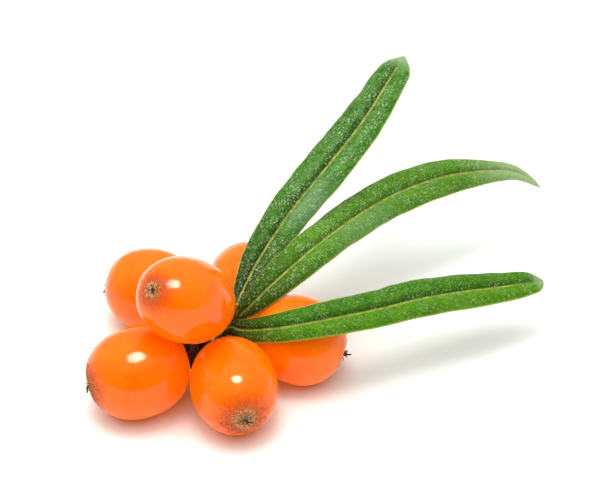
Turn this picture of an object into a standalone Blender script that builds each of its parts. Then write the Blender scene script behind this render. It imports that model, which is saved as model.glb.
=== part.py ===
"""Sea buckthorn sprig: six ripe berries clustered round a short twig, with three narrow leaves.

The cluster lies on a table on five of its berries and the cut end of the twig.  Lengths in the
tables below are millimetres, measured from the point of the table under the middle of the front
berry: X to the right, Y to the back, Z up from the table.  The finished sprig is moved as a whole,
so that the origin is the middle of its bounding box, on the table.
"""

import bisect
import math

import bmesh
import bpy
from mathutils import Vector

MM = 0.001
CURVE_SAMPLES = 400  # fine steps in which a smooth curve is measured

# Berries: centre, direction from the stalk to the blossom end, half length, waist radius.
# A berry with no height given lies on the table.
BERRIES = {
    "front_left": ((-9.65, 1.7, None), (-0.94, -0.33, -0.06), 5.2, 4.6),
    "front_middle": ((0.0, 0.0, None), (0.22, -0.97, 0.0), 5.3, 4.3),
    "top": ((-4.7, 3.6, 12.3), (-0.54, -0.53, 0.65), 5.65, 4.25),
    "right": ((6.5, 6.8, None), (0.93, -0.15, -0.26), 4.8, 4.5),
    "back_left": ((-9.1, 15.4, None), (-0.97, 0.20, -0.12), 4.65, 4.25),
    "back_middle": ((1.0, 16.3, None), (0.12, 0.97, -0.20), 4.8, 4.2),
}
TABLE_FLATTENING = 0.1  # how far a berry's skin gives where it lies
BERRY_SQUARENESS = 2.15  # 2 is an ellipsoid; more makes the ends blunter
STALK_DIMPLE = 0.35  # how far the stalk end is drawn in
BLOSSOM_FLAT = 0.15  # how far the blossom end is flattened
BERRY_RINGS = 12
BERRY_SIDES = 20
PROFILE_MERGE = 1e-6  # metres

# A stalk leaves its berry along the berry's axis and bends to its place on the twig, given as
# a fraction of the twig's length from the cut end.
STALK_RADIUS = 0.45
STALK_PLACE = {
    "front_left": 0.91,
    "front_middle": 0.85,
    "top": 0.80,
    "right": 0.68,
    "back_left": 0.52,
    "back_middle": 0.65,
}
STALK_POINTS = 8
STALK_CLEARANCE = 0.3  # between the stalk and the bottom of the berry's dimple
STALK_STRAIGHT_SHARE = 0.125  # of its length, at either end
JOINT_GAP = 0.15  # between pieces that meet

# The dried flower remnant on the blossom end of each berry, and the way its tip leans.
STYLE_LEAN = {
    "front_left": (0.1, -0.5, -0.8),
    "front_middle": (0.9, -0.1, -0.2),
    "top": (0.7, 0.1, 0.7),
    "right": (0.6, -0.3, 0.3),
    "back_left": (0.2, 0.8, 0.1),
    "back_middle": (0.4, 0.2, 0.6),
}
STYLE_RISE = 0.4  # along the berry's axis
STYLE_HOOK = 0.7  # sideways at the tip
STYLE_RADIUS = 0.14
STYLE_TIP_SHARE = 0.5  # the tip's radius, as a share of the root's
STYLE_POINTS = 5

# The twig, from its cut end on the table behind the berries to its tip between the front ones.
TWIG_ROUTE = (
    (-5.2, 22.4, 1.08),
    (-4.3, 19.0, 1.15),
    (-3.9, 16.0, 1.5),
    (-3.8, 13.4, 2.7),
    (-2.9, 11.2, 4.1),
    (-2.3, 9.2, 4.9),
    (-3.2, 7.6, 4.7),
    (-4.4, 6.5, 3.8),
    (-5.4, 6.1, 2.8),
)
TWIG_CUT_RADIUS = 1.05
TWIG_TIP_RADIUS = 1.0
TWIG_POINTS = 24

# The young shoot that carries the leaves and the bud.
SHOOT_FOOT = (-1.45, 8.95, 5.7)
SHOOT_TIP = (-0.5, 8.25, 6.55)
SHOOT_RADIUS = 0.6

BUD_FOOT = (-0.3, 7.75, 7.1)
BUD_TIP = (0.25, 7.15, 8.9)
BUD_RADIUS = 0.42
BUD_SWELL = (0.55, 0.95, 1.0, 0.8, 0.45, 0.1)  # share of the radius, from foot to tip

# Leaves: the midrib from base to tip, the widths of the left and right halves, the upper face's
# direction at base and tip, and the outline as (fraction of the length, fraction of the width).
LEAVES = {
    "upper": {
        "midrib": (
            (0.1, 8.95, 7.15),
            (0.9, 10.5, 8.2),
            (2.7, 13.15, 10.45),
            (5.65, 16.3, 13.55),
            (9.0, 19.8, 16.1),
            (13.0, 24.3, 19.0),
            (15.6, 28.4, 20.95),
            (17.6, 31.8, 22.4),
        ),
        "halves": (2.55, 2.25),
        "face_base": (-0.2, -0.78, 0.6),
        "face_tip": (-0.25, -0.6, 0.76),
        "outline": ((0, 0.18), (0.05, 0.4), (0.18, 0.76), (0.4, 0.96), (0.6, 1.0),
                    (0.8, 0.9), (0.92, 0.76), (0.98, 0.5), (1, 0.2)),
    },
    "middle": {
        "midrib": (
            (0.45, 8.1, 6.5),
            (1.8, 7.95, 8.15),
            (3.8, 9.1, 9.75),
            (7.95, 12.75, 11.5),
            (12.1, 17.4, 11.75),
            (16.2, 21.7, 11.5),
            (21.1, 25.3, 11.1),
            (26.0, 28.0, 10.1),
            (30.0, 29.7, 8.7),
            (32.7, 30.5, 6.2),
        ),
        "halves": (2.4, 2.25),
        "face_base": (-0.22, -0.6, 0.76),
        "face_tip": (0.1, -0.45, 0.88),
        "outline": ((0, 0.2), (0.04, 0.46), (0.14, 0.8), (0.33, 0.96), (0.55, 1.0),
                    (0.7, 0.9), (0.82, 0.62), (0.92, 0.34), (1, 0.06)),
    },
    "lower": {
        "midrib": (
            (-0.5, 7.3, 6.0),
            (1.3, 5.6, 6.85),
            (3.6, 4.15, 8.0),
            (6.6, 3.75, 8.9),
            (10.7, 4.95, 8.9),
            (14.8, 6.85, 8.4),
            (18.9, 8.7, 8.15),
            (23.1, 10.5, 7.55),
            (27.2, 12.2, 6.8),
            (30.9, 13.55, 6.5),
            (31.8, 14.2, 6.1),
        ),
        "halves": (2.4, 1.95),
        "face_base": (0.0, -0.62, 0.78),
        "face_tip": (0.1, -0.15, 0.98),
        "outline": ((0, 0.22), (0.05, 0.44), (0.16, 0.7), (0.35, 0.89), (0.55, 1.0),
                    (0.75, 1.0), (0.88, 0.86), (0.95, 0.72), (1, 0.5)),
    },
}
LEAF_THICKNESS = 0.34
LEAF_STATIONS = 22
# Across one half of a blade: fraction of its width, and rise above the midrib groove.
BLADE_SECTION = ((0.0, 0.0), (0.5, 0.14), (1.0, -0.02))

CUTTER_DEPTH = 4.0
CUTTER_SIZE = 14.0

COLOURS = {
    "berry": ((0.93, 0.22, 0.01), 0.28),
    "stalk": ((0.33, 0.22, 0.05), 0.60),
    "style": ((0.05, 0.03, 0.02), 0.80),
    "twig": ((0.20, 0.11, 0.05), 0.75),
    "bud": ((0.36, 0.30, 0.05), 0.60),
    "leaf": ((0.05, 0.19, 0.03), 0.50),
}


def clear_scene():
    for obj in list(bpy.data.objects):
        bpy.data.objects.remove(obj, do_unlink=True)


def make_collection(name):
    collection = bpy.data.collections.new(name)
    bpy.context.scene.collection.children.link(collection)
    return collection


def make_material(name):
    colour, roughness = COLOURS[name]
    material = bpy.data.materials.new(name)
    material.use_nodes = True
    shader = material.node_tree.nodes["Principled BSDF"]
    shader.inputs["Base Color"].default_value = (*colour, 1.0)
    shader.inputs["Roughness"].default_value = roughness
    shader.inputs["Metallic"].default_value = 0.0
    return material


def add_object(name, data, material, collection, parent):
    data.materials.append(material)
    obj = bpy.data.objects.new(name, data)
    obj.parent = parent
    collection.objects.link(obj)
    return obj


def spline_point(points, place):
    """The point at place (0 to 1) of a Catmull-Rom curve through the points."""
    spans = len(points) - 1
    span = min(int(place * spans), spans - 1)
    part = place * spans - span
    before = points[span - 1] if span else 2 * points[0] - points[1]
    after = points[span + 2] if span + 2 <= spans else 2 * points[-1] - points[-2]
    start, end = points[span], points[span + 1]
    return 0.5 * (
        2 * start
        + (end - before) * part
        + (2 * before - 5 * start + 4 * end - after) * part**2
        + (3 * start - before - 3 * end + after) * part**3
    )


def even_points(route, count):
    """Points a constant distance apart along the smooth curve through the route."""
    points = [Vector(point) for point in route]
    fine = [spline_point(points, i / CURVE_SAMPLES) for i in range(CURVE_SAMPLES + 1)]
    reached = [0.0]
    for a, b in zip(fine, fine[1:]):
        reached.append(reached[-1] + (b - a).length)
    found = []
    for i in range(count):
        target = reached[-1] * i / (count - 1)
        k = min(max(bisect.bisect_left(reached, target), 1), CURVE_SAMPLES)
        part = (target - reached[k - 1]) / (reached[k] - reached[k - 1])
        found.append(fine[k - 1].lerp(fine[k], part))
    return found


def outline_at(outline, place):
    """Width fraction at this place (0 to 1) of a leaf, on the smooth curve through the outline."""
    points = [Vector((along, across, 0.0)) for along, across in outline]
    fine = [spline_point(points, i / CURVE_SAMPLES) for i in range(CURVE_SAMPLES + 1)]
    k = min(max(bisect.bisect_left([p.x for p in fine], place), 1), CURVE_SAMPLES)
    part = (place - fine[k - 1].x) / (fine[k].x - fine[k - 1].x)
    return fine[k - 1].lerp(fine[k], min(max(part, 0.0), 1.0)).y


def tangents(points):
    last = len(points) - 1
    return [
        (points[min(i + 1, last)] - points[max(i - 1, 0)]).normalized()
        for i in range(last + 1)
    ]


def berry_profile(half_length, radius):
    """The berry's outline from blossom end to stalk end, for turning about local Z."""
    power = 2 / BERRY_SQUARENESS
    profile = []
    for i in range(BERRY_RINGS + 1):
        angle = math.pi * i / BERRY_RINGS
        across = radius * math.sin(angle) ** power if 0 < i < BERRY_RINGS else 0.0
        along = half_length * math.copysign(abs(math.cos(angle)) ** power, math.cos(angle))
        if i == 0:
            along -= BLOSSOM_FLAT
        if i == BERRY_RINGS:
            along += STALK_DIMPLE
        profile.append((across, along))
    return profile


def berry_centre(name):
    """The given centre, or for a berry on the table the height that lets it rest there."""
    (x, y, z), axis, half_length, radius = BERRIES[name]
    if z is None:
        rise = Vector(axis).normalized().z
        z = math.hypot(half_length * rise, radius * math.sqrt(1 - rise**2)) - TABLE_FLATTENING
    return Vector((x, y, z))


def make_berry(name, material, collection, cutters, parent):
    _, axis, half_length, radius = BERRIES[name]
    centre = berry_centre(name)
    profile = berry_profile(half_length, radius)
    mesh = bpy.data.meshes.new(f"berry_{name}")
    points = [(across * MM, 0.0, along * MM) for across, along in profile]
    mesh.from_pydata(points, [(i, i + 1) for i in range(len(points) - 1)], [])
    berry = add_object(f"berry_{name}", mesh, material, collection, parent)
    berry.location = centre * MM
    berry.rotation_mode = "QUATERNION"
    berry.rotation_quaternion = Vector(axis).to_track_quat("Z", "Y")
    turn = berry.modifiers.new("turn", "SCREW")
    turn.axis = "Z"
    turn.steps = turn.render_steps = BERRY_SIDES
    turn.use_merge_vertices = True
    turn.merge_threshold = PROFILE_MERGE
    if centre.z < half_length:
        flatten_on_table(berry, centre, cutters, parent)
    return berry


def flatten_on_table(berry, centre, cutters, parent):
    """The soft skin spreads where the berry rests, so its underside is cut level with the table."""
    mesh = bpy.data.meshes.new(f"table_{berry.name}")
    shape = bmesh.new()
    bmesh.ops.create_cube(shape, size=1.0)
    bmesh.ops.scale(shape, vec=Vector((CUTTER_SIZE, CUTTER_SIZE, CUTTER_DEPTH)) * MM, verts=shape.verts)
    shape.to_mesh(mesh)
    shape.free()
    cutter = bpy.data.objects.new(mesh.name, mesh)
    cutters.objects.link(cutter)
    cutter.parent = parent
    cutter.location = Vector((centre.x, centre.y, -CUTTER_DEPTH / 2)) * MM
    cutter.hide_render = True
    cutter.display_type = "WIRE"
    cut = berry.modifiers.new("table", "BOOLEAN")
    cut.operation = "DIFFERENCE"
    cut.object = cutter


def make_tube(name, points, radii, sides_level, material, collection, parent):
    """A solid rod through the points, with flat ends."""
    curve = bpy.data.curves.new(name, "CURVE")
    curve.dimensions = "3D"
    curve.bevel_depth = MM
    curve.bevel_resolution = sides_level
    curve.use_fill_caps = True
    spline = curve.splines.new("POLY")
    spline.points.add(len(points) - 1)
    for place, point, radius in zip(spline.points, points, radii):
        place.co = (*(point * MM), 1.0)
        place.radius = radius
    return add_object(name, curve, material, collection, parent)


def stalk_route(name):
    """From the dimple in the berry's stalk end to the side of the twig that faces it."""
    axis = Vector(BERRIES[name][1]).normalized()
    half_length = BERRIES[name][2]
    start = berry_centre(name) - axis * (half_length - STALK_DIMPLE + STALK_CLEARANCE)
    place = STALK_PLACE[name]
    points = even_points(TWIG_ROUTE, TWIG_POINTS)
    k = round(place * (TWIG_POINTS - 1))
    along = tangents(points)[k]
    out = start - points[k]
    out = (out - along * out.dot(along)).normalized()
    foot = points[k] + out * (twig_radius(place) + JOINT_GAP)
    straight = (start - foot).length * STALK_STRAIGHT_SHARE
    return start, start - axis * straight, foot + out * straight, foot


def make_stalk(name, material, collection, parent):
    points = even_points(stalk_route(name), STALK_POINTS)
    radii = [STALK_RADIUS] * STALK_POINTS
    return make_tube(f"stalk_{name}", points, radii, 1, material, collection, parent)


def make_style(name, material, collection, parent):
    axis = Vector(BERRIES[name][1]).normalized()
    lean = Vector(STYLE_LEAN[name]).normalized()
    start = berry_centre(name) + axis * (BERRIES[name][2] - BLOSSOM_FLAT + JOINT_GAP)
    middle = start + axis * STYLE_RISE * 0.7
    end = start + axis * STYLE_RISE + lean * STYLE_HOOK
    points = even_points((start, middle, end), STYLE_POINTS)
    thinner = (1.0 - STYLE_TIP_SHARE) / (STYLE_POINTS - 1)
    radii = [STYLE_RADIUS * (1.0 - thinner * i) for i in range(STYLE_POINTS)]
    return make_tube(f"style_{name}", points, radii, 0, material, collection, parent)


def twig_radius(place):
    return TWIG_CUT_RADIUS + (TWIG_TIP_RADIUS - TWIG_CUT_RADIUS) * place


def make_twig(material, collection, parent):
    points = even_points(TWIG_ROUTE, TWIG_POINTS)
    radii = [twig_radius(i / (TWIG_POINTS - 1)) for i in range(TWIG_POINTS)]
    return make_tube("twig", points, radii, 2, material, collection, parent)


def make_shoot(material, collection, parent):
    points = [Vector(SHOOT_FOOT), Vector(SHOOT_TIP)]
    radii = [SHOOT_RADIUS, SHOOT_RADIUS]
    return make_tube("leaf_shoot", points, radii, 2, material, collection, parent)


def make_bud(material, collection, parent):
    foot, tip = Vector(BUD_FOOT), Vector(BUD_TIP)
    last = len(BUD_SWELL) - 1
    points = [foot.lerp(tip, i / last) for i in range(last + 1)]
    radii = [BUD_RADIUS * share for share in BUD_SWELL]
    return make_tube("bud", points, radii, 1, material, collection, parent)


def blade_row(point, tangent, face, left, right):
    """One row of points across the leaf, square to the midrib, from the left margin to the right."""
    side = tangent.cross(face).normalized()
    normal = side.cross(tangent).normalized()
    row = [point + (normal * rise - side * across) * left for across, rise in reversed(BLADE_SECTION)]
    row += [point + (normal * rise + side * across) * right for across, rise in BLADE_SECTION[1:]]
    return [corner * MM for corner in row]


def make_leaf(name, material, collection, parent):
    leaf = LEAVES[name]
    points = even_points(leaf["midrib"], LEAF_STATIONS)
    directions = tangents(points)
    face_base, face_tip = Vector(leaf["face_base"]), Vector(leaf["face_tip"])
    shape = bmesh.new()
    rows = []
    for i, (point, tangent) in enumerate(zip(points, directions)):
        place = i / (LEAF_STATIONS - 1)
        left, right = (width * outline_at(leaf["outline"], place) for width in leaf["halves"])
        row = blade_row(point, tangent, face_base.lerp(face_tip, place), left, right)
        rows.append([shape.verts.new(corner) for corner in row])
    for near, far in zip(rows, rows[1:]):
        for k in range(len(near) - 1):
            shape.faces.new((near[k], near[k + 1], far[k + 1], far[k]))
    mesh = bpy.data.meshes.new(f"leaf_{name}")
    shape.to_mesh(mesh)
    shape.free()
    blade = add_object(f"leaf_{name}", mesh, material, collection, parent)
    thicken = blade.modifiers.new("thickness", "SOLIDIFY")
    thicken.thickness = LEAF_THICKNESS * MM
    thicken.offset = 0.0
    return blade


def centre_on_table(root, parts):
    """Moves the whole sprig so that the middle of its bounding box is at X = Y = 0."""
    bpy.context.view_layer.update()
    graph = bpy.context.evaluated_depsgraph_get()
    corners = []
    for part in parts:
        evaluated = part.evaluated_get(graph)
        mesh = evaluated.to_mesh()
        corners += [evaluated.matrix_world @ vertex.co for vertex in mesh.vertices]
        evaluated.to_mesh_clear()
    for k in (0, 1):
        values = [corner[k] for corner in corners]
        root.location[k] = -(min(values) + max(values)) / 2
    bpy.context.view_layer.update()


def main():
    clear_scene()
    parts = make_collection("sea_buckthorn_sprig")
    cutters = make_collection("cutters")
    root = bpy.data.objects.new("sprig", None)
    parts.objects.link(root)
    paint = {name: make_material(name) for name in COLOURS}
    made = []
    for name in BERRIES:
        made.append(make_berry(name, paint["berry"], parts, cutters, root))
        made.append(make_stalk(name, paint["stalk"], parts, root))
        made.append(make_style(name, paint["style"], parts, root))
    for name in LEAVES:
        made.append(make_leaf(name, paint["leaf"], parts, root))
    made.append(make_twig(paint["twig"], parts, root))
    made.append(make_shoot(paint["stalk"], parts, root))
    made.append(make_bud(paint["bud"], parts, root))
    centre_on_table(root, made)


main()
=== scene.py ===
"""The looks of a sea buckthorn sprig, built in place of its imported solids.

Each berry, leaf, stalk and twig is made again as a fine mesh, measured from the plain solid that it
replaces. The frame is in metres, so a length here is a number of millimetres times MM.
"""

import math
import random

import bmesh
import bpy
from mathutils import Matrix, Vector, noise


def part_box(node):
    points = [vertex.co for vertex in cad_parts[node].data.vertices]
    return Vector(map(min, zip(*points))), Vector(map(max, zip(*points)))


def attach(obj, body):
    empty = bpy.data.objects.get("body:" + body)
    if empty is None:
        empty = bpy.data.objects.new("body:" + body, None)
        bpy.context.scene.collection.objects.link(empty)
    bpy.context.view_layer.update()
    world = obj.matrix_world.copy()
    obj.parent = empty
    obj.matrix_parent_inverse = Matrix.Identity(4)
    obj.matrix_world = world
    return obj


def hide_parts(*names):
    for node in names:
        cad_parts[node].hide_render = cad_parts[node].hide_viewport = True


MM = 0.001
SEED = 7

BERRIES = ("front_left", "front_middle", "top", "right", "back_left", "back_middle")
LEAVES = ("upper", "middle", "lower")

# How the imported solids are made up, so that their points can be read in rows.
WELD = 0.002 * MM
LEAF_SIDES = 10
LEVEL = 0.9999  # how well two faces of one flat end agree in direction
SLICE = 0.35  # the step in which a rod is measured, as a share of its radius
SLICE_REACH = 2.5  # how far from its place a slice's points may lie, in the same measure
END_DROP = 0.85  # a slice this much smaller than the one before it has met the far end
EVENING = 3  # how many times a measured line is evened out

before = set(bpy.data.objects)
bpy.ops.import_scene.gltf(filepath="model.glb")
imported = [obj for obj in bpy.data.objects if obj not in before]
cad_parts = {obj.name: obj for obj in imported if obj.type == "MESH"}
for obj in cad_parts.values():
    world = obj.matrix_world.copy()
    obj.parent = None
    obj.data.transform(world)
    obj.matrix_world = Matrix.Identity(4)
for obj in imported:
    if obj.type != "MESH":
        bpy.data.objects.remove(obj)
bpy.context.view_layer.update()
ANCHOR = sum(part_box("leaf_shoot"), Vector()) / 2  # where the leaves, bud and stalks come together


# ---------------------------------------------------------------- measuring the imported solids


def mean(points):
    return sum(points, Vector()) / len(points)


def smooth(value, low, high):
    """0 below low, 1 above high, and an even slope between them that starts and ends level."""
    part = min(max((value - low) / (high - low), 0.0), 1.0)
    return part * part * (3.0 - 2.0 * part)


def spline(values, place):
    """The value at place (0 to 1) on a Catmull-Rom curve through numbers or vectors."""
    last = len(values) - 1
    at = min(max(place, 0.0), 1.0) * last
    k = min(int(at), last - 1)
    part = at - k
    start, end = values[k], values[k + 1]
    before = values[k - 1] if k else start * 2 - end
    after = values[k + 2] if k + 2 <= last else end * 2 - start
    return 0.5 * (
        start * 2
        + (end - before) * part
        + (before * 2 - start * 5 + end * 4 - after) * part**2
        + (start * 3 - before - end * 3 + after) * part**3
    )


def welded(node):
    """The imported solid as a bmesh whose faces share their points."""
    shape = bmesh.new()
    shape.from_mesh(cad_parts[node].data)
    bmesh.ops.remove_doubles(shape, verts=shape.verts, dist=WELD)
    shape.normal_update()
    return shape


def rings(node, near, count):
    """The solid's points in rings of count, walked along its edges from the end near the given point."""
    shape = welded(node)
    ring = sorted(shape.verts, key=lambda v: (v.co - near).length)[:count]
    seen, found = set(), []
    while ring:
        seen.update(ring)
        found.append([v.co.copy() for v in ring])
        beyond = {edge.other_vert(v) for v in ring for edge in v.link_edges} - seen
        ring = sorted(beyond, key=lambda v: v.index)
    shape.free()
    return found


def end_cap(shape, near):
    """Middle and radius of the rod's flat end that faces the given point, and the way into the rod."""
    face = max(shape.faces, key=lambda f: f.normal.dot((near - f.calc_center_median()).normalized()))
    flat = [f for f in shape.faces if f.normal.dot(face.normal) > LEVEL]
    level = [f for f in flat if abs((f.verts[0].co - face.verts[0].co).dot(face.normal)) < WELD]
    corners = sorted({v for f in level for v in f.verts}, key=lambda v: v.index)
    middle = mean([v.co for v in corners])
    return middle, max((v.co - middle).length for v in corners), -face.normal


def section(shape, place, normal, reach):
    """Middle and radius of the rod where the plane square to normal cuts it, or nothing past its end."""
    cuts = []
    for edge in shape.edges:
        a, b = ((v.co - place).dot(normal) for v in edge.verts)
        if a * b < 0:
            point = edge.verts[0].co.lerp(edge.verts[1].co, a / (a - b))
            if (point - place).length < reach:
                cuts.append(point)
    if len(cuts) < 3:
        return None
    middle = place.copy()
    for axis in across_axes(normal):
        offsets = [(point - place).dot(axis) for point in cuts]
        middle += axis * (min(offsets) + max(offsets)) / 2
    return middle, sum((point - middle).length for point in cuts) / len(cuts)


def evened(values):
    """Each value but the ends pulled to the middle of its neighbours, a few times over."""
    for _ in range(EVENING):
        inner = [(a + b * 2 + c) / 4 for a, b, c in zip(values, values[1:], values[2:])]
        values = [values[0], *inner, values[-1]]
    return values


def centreline(node, near):
    """The middle line of a rod from the end that faces the given point, in even steps, and its radii."""
    shape = welded(node)
    middle, radius, ahead = end_cap(shape, near)
    step, reach = radius * SLICE, radius * SLICE_REACH
    middles, radii = [middle], [radius]
    while found := section(shape, middles[-1] + ahead * step, ahead, reach):
        if found[1] < radii[-1] * END_DROP:
            break
        ahead = (ahead + (found[0] - middles[-1]).normalized()).normalized()
        middles.append(found[0])
        radii.append(found[1])
    past = [v.co - middles[-1] for v in shape.verts]
    middles[-1] = middles[-1] + ahead * max(way.dot(ahead) for way in past if way.length < reach)
    shape.free()
    return evened(middles), evened(radii)


def blade_rows(node):
    """For each row of a leaf: left margin, midrib, right margin and the way that its upper face looks."""
    found = rings(node, ANCHOR, LEAF_SIDES)
    middles = [mean(ring) for ring in found]
    rows = []
    for i, ring in enumerate(found):
        along = middles[min(i + 1, len(found) - 1)] - middles[max(i - 1, 0)]
        a, b = max(((a, b) for a in ring for b in ring), key=lambda pair: (pair[0] - pair[1]).length)
        side = (b - a).normalized()
        if side.cross(along).z < 0:
            side = -side
        ordered = sorted(ring, key=side.dot)
        pairs = [sorted(ordered[k : k + 2], key=side.cross(along).dot) for k in range(0, LEAF_SIDES, 2)]
        across = [mean(pair) for pair in pairs]
        face = (pairs[2][1] - pairs[2][0]).normalized()
        rows.append((across[0], across[2], across[4], face))
    return rows


# ---------------------------------------------------------------- meshes


class Shell:
    """Closed forms gathered into one mesh, with numbers marked on their points for the materials."""

    def __init__(self):
        self.points = []
        self.faces = []
        self.marks = {}

    def loft(self, first, loops, last, marks):
        """Joins loops of points in order, with a fan to a pole at either end.
        marks holds lists of one number a point, in the order pole, loops, pole, or one number for all."""
        base = len(self.points)
        self.points += [first] + [p for loop in loops for p in loop] + [last]
        count = len(loops[0])
        end = len(self.points) - 1
        for k in range(count):
            after = (k + 1) % count
            self.faces.append((base, base + 1 + after, base + 1 + k))
            for i in range(len(loops) - 1):
                near = base + 1 + i * count
                far = near + count
                self.faces.append((near + k, near + after, far + after, far + k))
            near = end - count
            self.faces.append((near + k, near + after, end))
        for key, values in marks.items():
            if not isinstance(values, list):
                values = [values] * (end + 1 - base)
            self.marks.setdefault(key, []).extend(values)

    def piece(self, name):
        mesh = bpy.data.meshes.new(name)
        mesh.from_pydata(self.points, [], self.faces)
        for key, values in self.marks.items():
            mesh.attributes.new(key, "FLOAT", "POINT").data.foreach_set("value", values)
        shape = bmesh.new()
        shape.from_mesh(mesh)
        bmesh.ops.recalc_face_normals(shape, faces=shape.faces)
        shape.to_mesh(mesh)
        shape.free()
        mesh.shade_smooth()
        return add(name, mesh)


def add(name, mesh):
    piece = bpy.data.objects.new(name, mesh)
    bpy.context.scene.collection.objects.link(piece)
    return piece


def settle(piece, node, material):
    """The piece stands for its CAD node, moves with the sprig and takes its finish."""
    piece.data.materials.append(material)
    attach(piece, "root")
    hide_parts(node)


def across_axes(direction):
    """Two directions square to this one and to each other."""
    side = direction.cross(Vector((0, 0, 1)))
    if side.length < 0.1:
        side = direction.cross(Vector((1, 0, 0)))
    side.normalize()
    return side, direction.cross(side).normalized()


def ragged(point, size, seed):
    """A smooth random number from -1 to 1 that changes over this size."""
    return noise.noise(point / size + Vector((seed, seed * 2, SEED)))


# ---------------------------------------------------------------- materials


class Paint:
    """A new material, with short ways to add nodes to it."""

    def __init__(self, name):
        self.material = bpy.data.materials.new(name)
        self.material.use_nodes = True
        self.tree = self.material.node_tree
        self.shader = self.tree.nodes["Principled BSDF"]
        place = self.add("TexCoord", output="Object")
        self.mm = self.add("VectorMath", {0: place, "Scale": 1 / MM}, operation="SCALE")

    def add(self, kind, inputs=None, output=0, **settings):
        """Adds a node and gives back one output. An input is a value or another node's output."""
        node = self.tree.nodes.new("ShaderNode" + kind)
        for key, value in settings.items():
            setattr(node, key, value)
        for key, value in (inputs or {}).items():
            self.feed(node.inputs[key], value)
        return node.outputs[output]

    def feed(self, socket, value):
        if isinstance(value, bpy.types.NodeSocket):
            self.tree.links.new(value, socket)
        else:
            socket.default_value = value

    def set(self, **values):
        """Sets sockets of the shader, named with _ for each space, to values or other nodes' outputs."""
        for key, value in values.items():
            self.feed(self.shader.inputs[key.replace("_", " ")], value)

    def mark(self, name):
        return self.add("Attribute", output="Fac", attribute_name=name)

    def noise(self, size, detail=3.0, place=None):
        """Cloudy noise from 0 to 1 whose patches are this many millimetres across."""
        where = self.mm if place is None else place
        return self.add("TexNoise", {"Vector": where, "Scale": 1 / size, "Detail": detail})

    def dots(self, place, grid, small, large):
        """Soft round dots of random size, one in each cell of a loose grid, and a random shade for each."""
        inputs = {"Vector": place, "Scale": 1 / grid}
        distance = self.add("TexVoronoi", inputs, voronoi_dimensions="2D")
        colour = self.add("TexVoronoi", inputs, "Color", voronoi_dimensions="2D")
        pick = self.add("SeparateColor", {0: colour})
        shade = self.add("SeparateColor", {0: colour}, 1)
        edge = self.slope(pick, 0.0, 1.0, small / grid, large / grid)
        inside = self.math("SUBTRACT", edge, distance)
        return self.slope(inside, -0.05, 0.05), shade

    def cells(self, size):
        """How far each place is from the middle of its cell, in a loose grid of this many millimetres."""
        return self.add("TexVoronoi", {"Vector": self.mm, "Scale": 1 / size})

    def math(self, operation, a, b):
        return self.add("Math", {0: a, 1: b}, operation=operation)

    def slope(self, value, low, high, start=0.0, end=1.0):
        """start where the value is under low, end where it is over high, and a smooth step between."""
        inputs = {"Value": value, "From Min": low, "From Max": high, "To Min": start, "To Max": end}
        return self.add("MapRange", inputs, interpolation_type="SMOOTHSTEP")

    def mix(self, part, a, b):
        def colour(value):
            return value if isinstance(value, bpy.types.NodeSocket) else (*value, 1.0)

        inputs = {0: part, 6: colour(a), 7: colour(b)}
        return self.add("Mix", inputs, output=2, data_type="RGBA")

    def bump(self, height, rise, normal=None):
        """Tilts the surface as if it rose by this many millimetres where height is 1."""
        inputs = {"Height": height, "Distance": rise * MM, "Strength": 1.0}
        if normal is not None:
            inputs["Normal"] = normal
        return self.add("Bump", inputs)


def berry_paint():
    paint = Paint("berry skin")
    # How far a point is from the dried flower, as a share of how far its scurf spreads.
    scar = paint.mark("scar")
    cloud = paint.noise(3.0)
    fine = paint.noise(0.5, 4.0)
    colour = paint.mix(paint.slope(cloud, 0.3, 0.7), (0.93, 0.108, 0.001), (0.95, 0.142, 0.002))
    colour = paint.mix(paint.slope(fine, 0.5, 0.75, 0.0, 0.2), colour, (0.98, 0.29, 0.01))
    wander = paint.math("MULTIPLY", paint.math("SUBTRACT", paint.noise(0.4, 4.0), 0.5), 0.7)
    reach = paint.math("ADD", scar, wander)
    colour = paint.mix(paint.slope(reach, 0.4, 1.35, 0.95, 0.0), colour, (0.70, 0.040, 0.002))
    fleck = paint.slope(paint.noise(0.14, 2.0), 0.5, 0.6)
    strewn = paint.math("MULTIPLY", fleck, paint.slope(reach, 0.3, 1.15, 0.95, 0.0))
    colour = paint.mix(strewn, colour, (0.40, 0.055, 0.01))
    under = paint.slope(paint.noise(0.12, 2.0), 0.42, 0.6)
    brown = paint.mix(under, (0.10, 0.022, 0.006), (0.42, 0.15, 0.05))
    colour = paint.mix(paint.slope(reach, 0.12, 0.42, 0.95, 0.0), colour, brown)
    paint.set(Base_Color=colour, Roughness=paint.slope(reach, 0.3, 1.0, 0.6, 0.07))
    paint.set(Subsurface_Weight=0.7, Subsurface_Radius=(1.0, 0.45, 0.05), Subsurface_Scale=2.5 * MM)
    # Painted glow: the skin gives off a faint, strongly orange light of its own, in place of light that has
    # wandered through the juicy flesh.
    paint.set(IOR=1.37, Emission_Color=(1.0, 0.30, 0.0, 1.0), Emission_Strength=0.17)
    rough = paint.math("MULTIPLY", paint.noise(0.16, 3.0), paint.slope(reach, 0.3, 1.0, 1.0, 0.0))
    paint.set(Normal=paint.bump(fine, 0.012, paint.bump(rough, 0.1)))
    return paint.material


# Two grids of silvery scales: the cell, the smallest and largest radius (mm), and how strongly they show
# at the foot of the leaf and further up.
SCALE_DOTS = ((0.15, 0.01, 0.06, 0.1, 0.65), (0.27, 0.02, 0.105, 0.9, 1.0))


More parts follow.
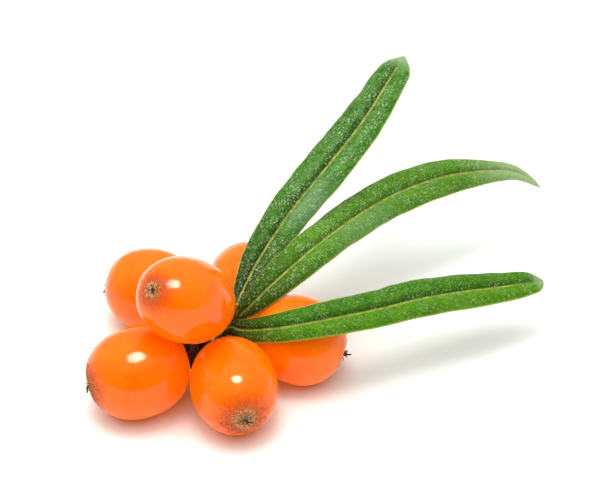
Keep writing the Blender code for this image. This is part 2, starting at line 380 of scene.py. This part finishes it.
def leaf_paint(name, dark, light, shade_and_vein, base, tip, tip_from, gloss, painted_sheen, painted_light_right, strewing, groove):
    """dark and light are the greens. shadow is the green of the veins and of the painted shade in the groove
    and at the foot, and base the darker colour that the foot is painted to as shade. tip is the pale end,
    painted as the sheen where the leaf curls away, and tip_from where it starts. bloom is how strong the
    painted sheen is on the right half a third of the way up, paler how much lighter the right half is
    painted all along, strewing how thick the silvery scales lie, and groove how dark the painted shade is on
    the left of the midrib."""
    paint = Paint(f"leaf {name}")
    upper = paint.mark("upper")
    rib = paint.mark("from_rib")
    margin = paint.mark("from_margin")
    along = paint.mark("along")
    across = paint.mark("across")
    flat = paint.add("CombineXYZ", {"X": paint.mark("run"), "Y": across})
    # Painted light: the right half is painted lighter all along, and the cloudy tones are narrowed to leave
    # room for it.
    cloud = paint.slope(paint.noise(1.1, 5.0), 0.3, 0.72, 0.0, 1.0 - painted_light_right)
    green = paint.mix(paint.math("ADD", cloud, paint.slope(across, -0.1, 0.2, 0.0, painted_light_right)), dark, light)
    # Fine veins slant forward from the midrib to the margins.
    onward = paint.math("SUBTRACT", paint.mark("run"), paint.math("MULTIPLY", rib, 1.1))
    slant = paint.add("CombineXYZ", {"X": onward, "Y": paint.math("MULTIPLY", across, 0.25)})
    veins = paint.noise(0.22, 2.0, slant)
    green = paint.mix(paint.slope(veins, 0.42, 0.72, 0.0, 0.6), green, shade_and_vein)
    # Painted shade: the foot of the leaf, in the shade of the berries, darkens to the shade green and then
    # to the base colour.
    green = paint.mix(paint.slope(along, 0.0, 0.3, 0.8, 0.0), green, shade_and_vein)
    green = paint.mix(paint.slope(along, 0.02, 0.26, 0.9, 0.0), green, base)
    # Painted sheen: a pale patch lies on the right half, about a third to a half of the way up.
    on_right = paint.slope(across, 0.05, 0.4, 0.0, painted_sheen)
    painted_sheen_patch = paint.math("MULTIPLY", on_right, paint.slope(along, 0.26, 0.36))
    painted_sheen_patch = paint.math("MULTIPLY", painted_sheen_patch, paint.slope(along, 0.40, 0.56, 1.0, 0.0))
    green = paint.mix(painted_sheen_patch, green, (0.22, 0.38, 0.20))
    # Painted shade: the left half darkens down to the groove along the midrib.
    painted_groove_shade = paint.slope(across, -0.9, -0.1, 0.0, groove)
    green = paint.mix(paint.math("MULTIPLY", painted_groove_shade, paint.math("LESS_THAN", across, 0.03)), green, shade_and_vein)
    # Silvery scales: small round dots on both sizes of grid, thinner in some patches and at the foot.
    strewn = paint.slope(paint.noise(1.3), 0.3, 0.65, strewing * 0.3, strewing)
    for grid, small, large, foot, strength in SCALE_DOTS:
        dot, shade = paint.dots(flat, grid, small, large)
        part = paint.math("MULTIPLY", dot, strewn)
        part = paint.math("MULTIPLY", part, paint.slope(along, 0.04, 0.3, foot, strength))
        green = paint.mix(part, green, paint.mix(shade, (0.15, 0.27, 0.06), (0.44, 0.55, 0.34)))
    green = paint.mix(paint.slope(margin, 0.03, 0.14, 0.8, 0.0), green, (0.36, 0.47, 0.06))
    fade = paint.slope(along, 0.86, 0.97, 0.85, 0.0)
    yellow = paint.mix(paint.slope(paint.noise(0.5), 0.35, 0.65), (0.24, 0.28, 0.04), (0.46, 0.46, 0.10))
    green = paint.mix(paint.math("MULTIPLY", paint.slope(rib, 0.06, 0.14, 1.0, 0.0), fade), green, yellow)
    # Painted sheen: the end of the leaf, where it curls away, pales to the tip colour.
    green = paint.mix(paint.slope(along, tip_from, 1.0, 0.0, 0.85), green, tip)
    # Below, the scales lie so close that they make a silvery felt, with a few rusty ones among them.
    felt_dot, felt_shade = paint.dots(flat, 0.16, 0.05, 0.09)
    silver = paint.mix(felt_shade, (0.38, 0.44, 0.32), (0.62, 0.66, 0.56))
    felt = paint.mix(felt_dot, (0.20, 0.28, 0.14), silver)
    rust, _ = paint.dots(flat, 0.8, 0.0, 0.12)
    felt = paint.mix(paint.math("MULTIPLY", rust, 0.85), felt, (0.28, 0.12, 0.04))
    felt = paint.mix(paint.slope(rib, 0.12, 0.34, 0.75, 0.0), felt, (0.36, 0.34, 0.13))
    is_upper = paint.slope(upper, 0.4, 0.6)
    paint.set(Base_Color=paint.mix(is_upper, felt, green))
    paint.set(Roughness=paint.slope(dot, 0.0, 1.0, 0.38, 0.55))
    paint.set(Subsurface_Weight=0.1, Subsurface_Radius=(0.35, 1.0, 0.05), Subsurface_Scale=0.4 * MM)
    paint.set(IOR=1.4, Specular_IOR_Level=gloss)
    grain = paint.bump(paint.noise(0.13, 4.0), 0.035)
    mesh_of_veins = paint.add("TexVoronoi", {"Vector": flat, "Scale": 1.8}, voronoi_dimensions="2D")
    net = paint.bump(mesh_of_veins, -0.07, grain)
    paint.set(Normal=paint.bump(dot, 0.03, paint.bump(veins, 0.05, net)))
    return paint.material


def bark_paint():
    paint = Paint("bark")
    around = paint.mark("core")
    long_grain = paint.noise(0.5, 5.0)
    # The bark is painted near black: its own dark reddish brown, darkened further as painted shade of the
    # hollow between the berries where the twig lies.
    colour = paint.mix(paint.slope(long_grain, 0.3, 0.7), (0.010, 0.003, 0.0015), (0.045, 0.016, 0.007))
    scurf = paint.math("LESS_THAN", paint.cells(0.24), 0.3)
    colour = paint.mix(paint.math("MULTIPLY", scurf, 0.2), colour, (0.14, 0.06, 0.03))
    wood = paint.mix(paint.slope(paint.noise(0.18), 0.3, 0.7), (0.50, 0.42, 0.20), (0.62, 0.55, 0.33))
    wood = paint.mix(paint.slope(around, 0.16, 0.3, 0.8, 0.0), wood, (0.20, 0.10, 0.03))
    wood = paint.mix(paint.slope(around, 0.74, 0.84), wood, (0.22, 0.30, 0.08))
    colour = paint.mix(paint.slope(around, 0.86, 0.93), wood, colour)
    paint.set(Base_Color=colour, Roughness=0.75, Specular_IOR_Level=0.1)
    paint.set(Normal=paint.bump(long_grain, 0.08, paint.bump(scurf, 0.03)))
    return paint.material


def stem_paint(name, dark, light, scale):
    """Green or brown stem skin with pale scale dots."""
    paint = Paint(name)
    colour = paint.mix(paint.slope(paint.noise(0.6, 4.0), 0.3, 0.7), dark, light)
    dot = paint.math("LESS_THAN", paint.cells(0.22), 0.28)
    colour = paint.mix(paint.math("MULTIPLY", dot, 0.6), colour, scale)
    paint.set(Base_Color=colour, Roughness=0.6, Specular_IOR_Level=0.15)
    paint.set(Normal=paint.bump(paint.noise(0.15), 0.04, paint.bump(dot, 0.02)))
    return paint.material


def style_paint():
    """Dried flower hair and scurf scales: the mark tone runs from dark (0) to cream (1)."""
    paint = Paint("dried flower")
    tone = paint.mark("tone")
    colour = paint.mix(paint.slope(tone, 0.0, 0.25), (0.016, 0.009, 0.005), (0.52, 0.11, 0.016))
    colour = paint.mix(paint.slope(tone, 0.3, 1.0), colour, (0.90, 0.57, 0.27))
    mottle = paint.slope(paint.noise(0.1, 3.0), 0.4, 0.7, 0.0, 0.2)
    paint.set(Base_Color=paint.mix(mottle, colour, (0.10, 0.04, 0.02)), Roughness=0.7)
    return paint.material


# ---------------------------------------------------------------- berries

BERRY_RINGS = 84
BERRY_SIDES = 96
FLAT_SKIN = 0.01 * MM  # lower than this, a berry's skin lies on the table
RING_GAP = 0.25 * MM  # points of the solid further apart than this along it are in two rings
POLE_REACH = 0.3 * MM  # points nearer to its axis than this are its poles
PLUMP = 0.07 * MM  # a round skin stands this much outside the flat faces of its solid
# How far the scurf of the dried flower spreads from the blossom end.
SCURF_REACH = {
    "front_left": 2.8 * MM,
    "front_middle": 2.8 * MM,
    "top": 2.0 * MM,
    "right": 1.6 * MM,
    "back_left": 1.4 * MM,
    "back_middle": 1.5 * MM,
}


def berry_axes(name):
    """The berry's middle and the direction to its blossom end, from the ends of its stalk and style."""
    low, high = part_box(f"berry_{name}")
    ends = []
    for node in (f"style_{name}", f"stalk_{name}"):
        shape = welded(node)
        ends.append(end_cap(shape, (low + high) / 2)[0])
        shape.free()
    blossom, stalk = ends
    return (blossom + stalk) / 2, (blossom - stalk).normalized()


def berry_profile(name, centre, axis):
    """(along, across) of the solid's rings from the blossom end, leaving out what the table cut."""
    shape = welded(f"berry_{name}")
    found = []
    for vertex in shape.verts:
        if vertex.co.z > FLAT_SKIN:
            along = (vertex.co - centre).dot(axis)
            found.append((along, (vertex.co - centre - axis * along).length))
    shape.free()
    poles = sorted(point for point in found if point[1] < POLE_REACH)
    groups = []
    for point in sorted(set(found) - set(poles), reverse=True):
        if not groups or groups[-1][0][0] - point[0] > RING_GAP:
            groups.append([])
        groups[-1].append(point)
    profile = [sum(map(Vector, group), Vector((0, 0))) / len(group) for group in groups]
    return [Vector((poles[-1][0], 0.0)), *profile, Vector((poles[0][0], 0.0))]


class BerrySkin:
    """The skin of one berry, as a function of the place from blossom (0) to stalk end (1) and the angle."""

    def __init__(self, name):
        self.centre, self.axis = berry_axes(name)
        self.profile = berry_profile(name, self.centre, self.axis)
        self.side, self.other = across_axes(self.axis)
        self.seed = BERRIES.index(name) * 11.0
        self.blossom = self.centre + self.axis * self.profile[0].x
        self.reach = SCURF_REACH[name]

    def out(self, angle):
        return self.side * math.cos(angle) + self.other * math.sin(angle)

    def point(self, place, angle):
        along, across = spline(self.profile, place)
        out = self.out(angle)
        point = self.centre + self.axis * along + out * across
        # In millimetres: broad and small lumps, and a puckered hollow at the blossom end.
        lump = 0.10 * ragged(point, 5.0 * MM, self.seed) + 0.03 * ragged(point, 1.8 * MM, self.seed)
        near_end = 1.0 - smooth((point - self.blossom).length, 0.3 * MM, 2.0 * MM)
        pucker = near_end * 0.06 * ragged(out, 0.35, self.seed) - 0.08 * near_end**2
        point = point + (point - self.centre).normalized() * (PLUMP + (lump + pucker) * MM)
        point.z = max(point.z, 0.0)
        return point

    def scar(self, point):
        return (point - self.blossom).length / self.reach


def make_berry(name, material):
    berry = BerrySkin(name)
    loops = []
    for i in range(1, BERRY_RINGS):
        place = i / BERRY_RINGS
        loops.append([berry.point(place, math.tau * k / BERRY_SIDES) for k in range(BERRY_SIDES)])
    first = berry.point(0.0, 0.0)
    last = berry.point(1.0, 0.0)
    shell = Shell()
    scars = [berry.scar(point) for point in [first, *(p for loop in loops for p in loop), last]]
    shell.loft(first, loops, last, {"scar": scars})
    settle(shell.piece(f"fruit_{name}"), f"berry_{name}", material)


# ---------------------------------------------------------------- leaves

BLADE_STATIONS = 260
BLADE_COLUMNS = 22  # on each half of each face
BLADE_THICKNESS = 0.26 * MM
BLADE_SWELL = 0.24  # rise of each half, as a share of its width
BLADE_CREST = 0.4  # where each half is highest, measured the same way
RIB_RIDGE = 0.16 * MM
RIB_WIDTH = 0.28 * MM
MARGIN_WAVE = 0.14 * MM
TIP_ROUND_FROM = 0.965  # the share of the leaf's length at which the tip starts to round off

# The foot of the lower leaf: how far it runs on, how far its right margin sags, and along what share of
# the leaf.
FOOT_RUN = Vector((-1.5, -0.1, -1.6)) * MM
FOOT_SAG = Vector((0.0, -0.45, -0.55)) * MM
FOOT_SHARE = 0.16
RIB_SAG = 0.45  # the midrib sags by this share of what the margin does


def footed(rows):
    """The same rows with the right of the leaf's foot sagging, and one more row where it runs on behind the
    berries."""
    moved = []
    for i, (left, rib, right, face) in enumerate(rows):
        sag = FOOT_SAG * (1.0 - smooth(i / len(rows), 0.0, FOOT_SHARE))
        moved.append((left, rib + sag * RIB_SAG, right + sag, face))
    left, rib, right, face = moved[0]
    return [(left + FOOT_RUN, rib + FOOT_RUN, right + FOOT_RUN, face), *moved]


def half_rise(part):
    """Rise of one half of the upper face: steep up from the midrib's groove, rolled down at the margin."""
    if part < BLADE_CREST:
        return 1.0 - (1.0 - part / BLADE_CREST) ** 2.4
    return 1.0 - ((part - BLADE_CREST) / (1.0 - BLADE_CREST)) ** 2.2 * 1.05


def make_blade(name, material):
    rows = blade_rows(f"leaf_{name}")
    if name == "lower":
        rows = footed(rows)
    left, rib, right, face = ([row[k] for row in rows] for k in range(4))
    length = sum((b - a).length for a, b in zip(rib, rib[1:]))
    seed = 31.0 + LEAVES.index(name) * 17.0
    shares = [math.sin(math.pi / 2 * k / BLADE_COLUMNS) ** 0.9 for k in range(BLADE_COLUMNS + 1)]
    above = [(1, -1, part) for part in reversed(shares)] + [(1, 1, part) for part in shares[1:]]
    below = [(-1, 1, part) for part in reversed(shares[:-1])] + [(-1, -1, part) for part in shares[1:-1]]
    loops = []
    first_marks = {"upper": 1.0, "from_rib": 0.0, "from_margin": 1.0, "along": 0.0, "run": 0.0}
    first_marks["across"] = 0.0
    marks = {key: [value] for key, value in first_marks.items()}
    for i in range(BLADE_STATIONS + 1):
        place = i / BLADE_STATIONS
        middle, up = spline(rib, place), spline(face, place).normalized()
        sides = {-1: spline(left, place) - middle, 1: spline(right, place) - middle}
        at = place * length
        into_tip = max((place - TIP_ROUND_FROM) / (1.0 - TIP_ROUND_FROM), 0.0)
        rounding = math.sqrt(max(1.0 - into_tip**2, 0.0025))
        swell = BLADE_SWELL * (1.0 - 0.7 * smooth(place, 0.9, 1.0))
        loop = []
        for top, hand, part in above + below:
            width = sides[hand].length
            wave = ragged(Vector((at, hand * 9.0 * MM, 0)), 3.2 * MM, seed)
            ripple = ragged(Vector((at, hand * 5.0 * MM, 0)), 1.1 * MM, seed)
            edge = 1.0 + 0.04 * ragged(Vector((at, hand * 5.0 * MM, 0)), 2.0 * MM, seed) + 0.012 * ripple
            rise = half_rise(part) * swell * width + MARGIN_WAVE * (wave + 0.3 * ripple) * part**3
            thick = BLADE_THICKNESS / 2 * math.sqrt(max(1.0 - part**6, 0.0))
            ridge = 0.0
            if top < 0:
                ridge = RIB_RIDGE * math.exp(-((part * width / RIB_WIDTH) ** 2)) * (1.0 - 0.7 * place)
            loop.append(middle + sides[hand] * part * edge * rounding + up * (rise + top * thick - ridge))
            marks["upper"].append(1.0 if top > 0 else 0.0)
            marks["from_rib"].append(part * width / MM)
            marks["from_margin"].append((1.0 - part) * width / MM)
            marks["along"].append(place)
            marks["run"].append(at / MM)
            marks["across"].append(hand * part * width / MM)
        loops.append(loop)
    last_marks = {**first_marks, "from_margin": 0.0, "along": 1.0, "run": length / MM}
    for key, value in last_marks.items():
        marks[key].append(value)
    shell = Shell()
    shell.loft(mean(loops[0]), loops, mean(loops[-1]), marks)
    settle(shell.piece(f"blade_{name}"), f"leaf_{name}", material)


# ---------------------------------------------------------------- stems

ROD_END = 0.04  # share of a rod's length that is rounded off at each end


def lengthened(middles, first, last):
    """The same line with its ends moved on by these lengths, into the pieces that it grows from and to."""
    start = middles[0] + (middles[0] - middles[1]).normalized() * first
    end = middles[-1] + (middles[-1] - middles[-2]).normalized() * last
    return [start, *middles[1:-1], end]


def rod(shell, middles, radii, stations, sides, bumps, seed, marks=None):
    """A round stem through the middles, with rounded ends. bumps is how uneven it is, as a share of its
    radius."""
    loops = []
    for i in range(stations + 1):
        place = i / stations
        here = spline(middles, place)
        ahead = spline(middles, min(place + 0.02, 1.0)) - spline(middles, max(place - 0.02, 0.0))
        side, other = across_axes(ahead.normalized())
        into_end = max(abs(place - 0.5) - (0.5 - ROD_END), 0.0) / ROD_END
        radius = spline(radii, place) * math.sqrt(max(1.0 - into_end**2, 0.02))
        loop = []
        for k in range(sides):
            angle = math.tau * k / sides
            out = side * math.cos(angle) + other * math.sin(angle)
            uneven = 1.0 + bumps * ragged(here + out * radius, radius * 0.8, seed)
            loop.append(here + out * radius * uneven)
        loops.append(loop)
    shell.loft(mean(loops[0]), loops, mean(loops[-1]), marks or {})


def make_stalk(name, material):
    berry, _ = berry_axes(name)
    middles, radii = centreline(f"stalk_{name}", berry)
    shell = Shell()
    rod(shell, lengthened(middles, 0.3 * MM, 0.4 * MM), radii, 40, 20, 0.12, 71.0 + BERRIES.index(name))
    settle(shell.piece(f"pedicel_{name}"), f"stalk_{name}", material)


FLAKE_DENSITY = 85  # to the square millimetre
FLAKE_SIDES = 5
FLAKE_TONES = (0.0, 0.3, 0.75, 0.9, 1.0, 1.0)
FLAKE_CROWDING = 1.5  # the higher, the more of them in the middle
FLAKE_STRAY = 1.1  # the furthest of them, as a share of the scurf's reach
HAIRS = 6
HAIR_LENGTH = 0.95 * MM
HAIR_RADIUS = 0.065 * MM
STYLE_SWELL = 1.1  # the withered style is this much thicker than its solid
STYLE_SUNK = 0.2 * MM  # and stands this much deeper in the scar


def add_flake(shell, centre, out, radial, length, width, tone):
    """One thin dry scale on the skin, longest along radial."""
    across = out.cross(radial).normalized()
    rim = []
    for k in range(FLAKE_SIDES):
        angle = math.tau * k / FLAKE_SIDES
        rim.append(centre + radial * math.cos(angle) * length / 2 + across * math.sin(angle) * width / 2)
    thick = out * width * 0.16
    shell.loft(centre - thick, [rim], centre + thick, {"tone": tone})


def add_scurf(shell, berry, draw):
    """Dry scales round the blossom end: crowded and upright in the middle, thin and flat further out."""
    for _ in range(round(FLAKE_DENSITY * math.pi * (berry.reach / MM) ** 2)):
        share = draw.random() ** FLAKE_CROWDING * FLAKE_STRAY
        angle = draw.uniform(0.0, math.tau)
        place = share * berry.reach / berry.profile[1].y / (len(berry.profile) - 1)
        point = berry.point(place, angle)
        further = (berry.point(place + 0.01, angle) - point).normalized()
        out = further.cross(berry.point(place, angle + 0.1) - point).normalized()
        if out.dot(point - berry.centre) < 0:
            out = -out
        upright = (1.0 - smooth(share, 0.0, 0.5)) * draw.uniform(0.2, 1.0)
        turn = draw.uniform(-0.7, 0.7)
        rise = out * (upright + draw.uniform(0.0, 0.25))
        radial = (further + out.cross(further) * turn + rise).normalized()
        normal = radial.cross(out.cross(radial)).normalized()
        size = draw.uniform(0.12, 0.30) * (1.1 - 0.6 * share) * MM
        tone = draw.choice(FLAKE_TONES) * (1.0 - 0.6 * smooth(share, 0.25, 0.7))
        tone = max(0.27 * smooth(share, 0.1, 0.45), tone)
        lift = out * size * (0.12 + 0.4 * upright)
        add_flake(shell, point + lift, normal, radial, size, size * draw.uniform(0.35, 0.7), tone)


def add_tuft(shell, berry, draw):
    """Short dry hairs that curl up out of the middle of the scar."""
    for _ in range(HAIRS):
        angle = draw.uniform(0.0, math.tau)
        start = berry.point(draw.uniform(0.002, 0.03), angle) - berry.axis * 0.05 * MM
        reach = draw.uniform(0.5, 1.0) * HAIR_LENGTH
        lean = berry.out(angle + draw.uniform(-0.6, 0.6)) * draw.uniform(0.4, 1.2)
        middle = start + (berry.axis + lean * 0.4).normalized() * reach * 0.5
        end = middle + (berry.axis * 0.3 + lean).normalized() * reach * 0.5
        radii = [HAIR_RADIUS, HAIR_RADIUS * 0.8, HAIR_RADIUS * 0.35]
        seed = draw.uniform(0, 50)
        rod(shell, [start, middle, end], radii, 8, 6, 0.2, seed, {"tone": draw.uniform(0.0, 0.2)})


def make_remnant(name, material):
    """What is left of the flower: the withered style, short hairs round its foot and the scurf."""
    berry = BerrySkin(name)
    draw = random.Random(SEED + BERRIES.index(name))
    middles, radii = centreline(f"style_{name}", berry.centre)
    shell = Shell()
    line = [point - berry.axis * STYLE_SUNK for point in lengthened(middles, 0.3 * MM, 0.0)]
    thin = [radius * STYLE_SWELL for radius in radii]
    rod(shell, line, thin, 30, 12, 0.3, 91.0 + BERRIES.index(name), {"tone": 0.0})
    add_tuft(shell, berry, draw)
    add_scurf(shell, berry, draw)
    settle(shell.piece(f"remnant_{name}"), f"style_{name}", material)


TWIG_STATIONS = 200
TWIG_ROUND = 44
CUT_RINGS = (0.2, 0.4, 0.6, 0.75, 0.88, 0.96)  # rings across the cut end, as shares of its radius
TIP_DROOP = Vector((0.35, -0.15, -1.25)) * MM  # the withered tip hangs this much below its solid


def make_twig(material):
    """The twig, with its cut end flat and its wood showing, and uneven swellings along it."""
    cut_end = Vector((0, 1, 0))
    middles, radii = centreline("twig", cut_end)
    middles += [middles[-1] + TIP_DROOP * part for part in (0.25, 0.5, 0.75, 1.0)]
    radii += radii[-1:] * 4
    stations = [(0.0, share) for share in CUT_RINGS]
    stations += [(i / TWIG_STATIONS, 1.0) for i in range(TWIG_STATIONS + 1)]
    length = sum((b - a).length for a, b in zip(middles, middles[1:]))
    rows, cores = [], [0.0]
    for place, share in stations:
        here = spline(middles, place)
        ahead = spline(middles, min(place + 0.01, 1.0)) - spline(middles, max(place - 0.01, 0.0))
        side, other = across_axes(ahead.normalized())
        # Towards its withered tip it swells a little, and then rounds off.
        into_tip = max((place - 0.96) / 0.04, 0.0)
        tip = math.sqrt(max(1.0 - into_tip**2, 0.01)) * (1.0 + 0.45 * smooth(place, 0.84, 0.95))
        knob = 0.10 * max(ragged(Vector((place * length, 0, 0)), 2.2 * MM, 3.0), 0.0)
        row = []
        for k in range(TWIG_ROUND):
            angle = math.tau * k / TWIG_ROUND
            out = side * math.cos(angle) + other * math.sin(angle)
            at = here + out * spline(radii, place)
            crease = 0.035 * ragged(Vector((math.cos(angle), math.sin(angle), place * 3)), 0.22, 9.0)
            grow = (1.0 + knob + crease + 0.05 * ragged(at, 0.9 * MM, 5.0)) * tip * share
            row.append(here + out * spline(radii, place) * grow)
            cores.append(share)
        rows.append(row)
    cores.append(1.0)
    for row in rows:
        for point in row:
            point.z = max(point.z, 0.0)
    shell = Shell()
    shell.loft(mean(rows[0]), rows, mean(rows[-1]), {"core": cores})
    settle(shell.piece("bark_twig"), "twig", material)


def make_shoot(material):
    twig = sum(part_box("twig"), Vector()) / 2
    middles, radii = centreline("leaf_shoot", twig)
    shell = Shell()
    rod(shell, lengthened(middles, 0.5 * MM, 0.3 * MM), radii, 60, 32, 0.14, 6.0)
    settle(shell.piece("shoot_stem"), "leaf_shoot", material)


def make_bud(material):
    middles, radii = centreline("bud", ANCHOR)
    shell = Shell()
    rod(shell, middles, radii, 40, 24, 0.15, 8.0)
    settle(shell.piece("bud_tip"), "bud", material)


# ---------------------------------------------------------------- the studio

VIEW_CENTRE = Vector((-1.76, -4.66, 15.27)) * MM
VIEW_ELEVATION = math.radians(38)
VIEW_DISTANCE = 255 * MM
VIEW_LENS = 150
FLOOR_RADIUS = 800 * MM

SKY_MIDDLE = Vector((-0.06, 0.0, 1.0))  # the direction of the brightest part of the tent
SKY_EDGE = (0.5, 0.97)  # where it fades out and where it is full: cosines of the angle from its middle
SKY_LOW = 0.03
SKY_HIGH = 2.85
WINDOW = Vector((0.02, -0.2, 1.0))  # the direction of the window that the berries mirror
WINDOW_WIDE = (0.8, 1.0, 1.0)  # directions are squeezed by this, so that the window is wider than it is deep
WINDOW_EDGE = (0.974, 0.990)  # as SKY_EDGE
WINDOW_STRENGTH = 34.0
WHITE = (1.0, 1.0, 1.0, 1.0)
WARM = (1.0, 0.94, 0.62, 1.0)
CREAM = (1.0, 0.94, 0.83, 1.0)


def add_camera():
    camera = bpy.data.objects.new("camera", bpy.data.cameras.new("camera"))
    camera.data.lens = VIEW_LENS
    camera.data.clip_start = 1 * MM
    toward = Vector((0, math.cos(VIEW_ELEVATION), -math.sin(VIEW_ELEVATION)))
    camera.location = VIEW_CENTRE - toward * VIEW_DISTANCE
    camera.rotation_euler = toward.to_track_quat("-Z", "Y").to_euler()
    bpy.context.scene.collection.objects.link(camera)
    bpy.context.scene.camera = camera


def add_softbox(name, height, size, back, right, power):
    """A square lamp this far above, behind and to the right of the middle of the table, and aimed at it."""
    lamp = bpy.data.lights.new(name, "AREA")
    lamp.shape = "SQUARE"
    lamp.size = size
    lamp.energy = power
    light = bpy.data.objects.new(name, lamp)
    light.location = Vector((right, back, height))
    light.rotation_euler = (-light.location).to_track_quat("-Z", "Y").to_euler()
    light.visible_glossy = False
    bpy.context.scene.collection.objects.link(light)


def add_floor():
    mesh = bpy.data.meshes.new("floor")
    shape = bmesh.new()
    bmesh.ops.create_circle(shape, cap_ends=True, segments=96, radius=FLOOR_RADIUS)
    shape.to_mesh(mesh)
    shape.free()
    floor = add("floor", mesh)
    paint = Paint("white table")
    shade = paint.mix(paint.noise(30.0), (0.88, 0.905, 0.86), (0.90, 0.925, 0.88))
    paint.set(Base_Color=shade, Roughness=0.9, Specular_IOR_Level=0.1)
    mesh.materials.append(paint.material)


def add_world():
    """A white tent, bright overhead, which the camera sees as plain white. What the glossy skins mirror is
    a pattern of its own: pale behind and above, dark low down in front, and one bright window overhead."""
    world = bpy.data.worlds.new("studio")
    bpy.context.scene.world = world
    world.use_nodes = True
    tree = world.node_tree

    def node(kind, inputs, output=0, **settings):
        made = tree.nodes.new("ShaderNode" + kind)
        for key, value in settings.items():
            setattr(made, key, value)
        for key, value in inputs.items():
            if isinstance(value, bpy.types.NodeSocket):
                tree.links.new(value, made.inputs[key])
            else:
                made.inputs[key].default_value = value
        return made.outputs[output]

    def ramp(value, low, high, start, end):
        ends = {"Value": value, "From Min": low, "From Max": high, "To Min": start, "To Max": end}
        return node("MapRange", ends)

    place = node("TexCoord", {}, "Generated")
    height = node("SeparateXYZ", {0: place}, 2)
    depth = node("SeparateXYZ", {0: place}, 1)
    behind = ramp(depth, -0.75, 0.1, 0.05, 0.9)
    above = ramp(height, 0.6, 0.85, 0.0, 1.0)
    mirrored = node("Math", {0: behind, 1: above}, operation="MAXIMUM")
    wide = node("VectorMath", {0: place, 1: WINDOW_WIDE}, operation="MULTIPLY")
    wide = node("VectorMath", {0: wide}, operation="NORMALIZE")
    nearness = node("VectorMath", {0: wide, 1: WINDOW.normalized()}, 1, operation="DOT_PRODUCT")
    pane = ramp(nearness, *WINDOW_EDGE, 0.0, 1.0)
    mirrored = node("Math", {0: pane, 1: WINDOW_STRENGTH, 2: mirrored}, operation="MULTIPLY_ADD")
    toward = node("VectorMath", {0: place, 1: SKY_MIDDLE.normalized()}, 1, operation="DOT_PRODUCT")
    lighting = ramp(toward, *SKY_EDGE, SKY_LOW, SKY_HIGH)
    strength = node("Mix", {0: node("LightPath", {}, "Is Glossy Ray"), 2: lighting, 3: mirrored})
    strength = node("Mix", {0: node("LightPath", {}, "Is Camera Ray"), 2: strength, 3: 1.0})
    background = tree.nodes["Background"]
    tint = node("Mix", {0: pane, 6: WARM, 7: CREAM}, 2, data_type="RGBA")
    glossy = node("LightPath", {}, "Is Glossy Ray")
    tint = node("Mix", {0: glossy, 6: WHITE, 7: tint}, 2, data_type="RGBA")
    tree.links.new(tint, background.inputs["Color"])
    tree.links.new(strength, background.inputs["Strength"])


def main():
    skin_paint = berry_paint()
    # The stalks' browns are dark: partly their own colour and partly painted shade of the hollow between the
    # berries where they lie.
    stalk_paint = stem_paint("stalk", (0.035, 0.010, 0.003), (0.09, 0.028, 0.008), (0.15, 0.07, 0.03))
    dried = style_paint()
    for name in BERRIES:
        make_berry(name, skin_paint)
        make_stalk(name, stalk_paint)
        make_remnant(name, dried)
    greens = {
        "upper": leaf_paint(
            "upper",
            dark=(0.017, 0.112, 0.001),
            light=(0.056, 0.240, 0.003),
            shade_and_vein=(0.008, 0.036, 0.001),
            base=(0.014, 0.030, 0.0003),
            tip=(0.30, 0.42, 0.20),
            tip_from=0.93,
            gloss=0.28,
            painted_sheen=0.42,
            painted_light_right=0.25,
            strewing=0.8,
            groove=0.6,
        ),
        "middle": leaf_paint(
            "middle",
            dark=(0.054, 0.175, 0.003),
            light=(0.105, 0.270, 0.008),
            shade_and_vein=(0.030, 0.105, 0.001),
            base=(0.034, 0.060, 0.0003),
            tip=(0.42, 0.55, 0.28),
            tip_from=0.72,
            gloss=0.08,
            painted_sheen=0.22,
            painted_light_right=0.1,
            strewing=0.7,
            groove=0.4,
        ),
        "lower": leaf_paint(
            "lower",
            dark=(0.034, 0.145, 0.001),
            light=(0.095, 0.265, 0.003),
            shade_and_vein=(0.012, 0.060, 0.001),
            base=(0.024, 0.032, 0.0003),
            tip=(0.32, 0.44, 0.20),
            tip_from=0.95,
            gloss=0.05,
            painted_sheen=0.0,
            painted_light_right=0.5,
            strewing=0.45,
            groove=0.5,
        ),
    }
    for name in LEAVES:
        make_blade(name, greens[name])
    make_twig(bark_paint())
    make_shoot(stem_paint("green shoot", (0.10, 0.07, 0.015), (0.26, 0.20, 0.04), (0.46, 0.40, 0.22)))
    make_bud(stem_paint("bud scales", (0.26, 0.20, 0.03), (0.44, 0.36, 0.08), (0.55, 0.50, 0.30)))
    add_floor()
    add_world()
    add_camera()
    add_softbox("key", height=600 * MM, size=200 * MM, back=-10 * MM, right=-35 * MM, power=1.1)
    bpy.context.scene.view_settings.view_transform = "Standard"


main()
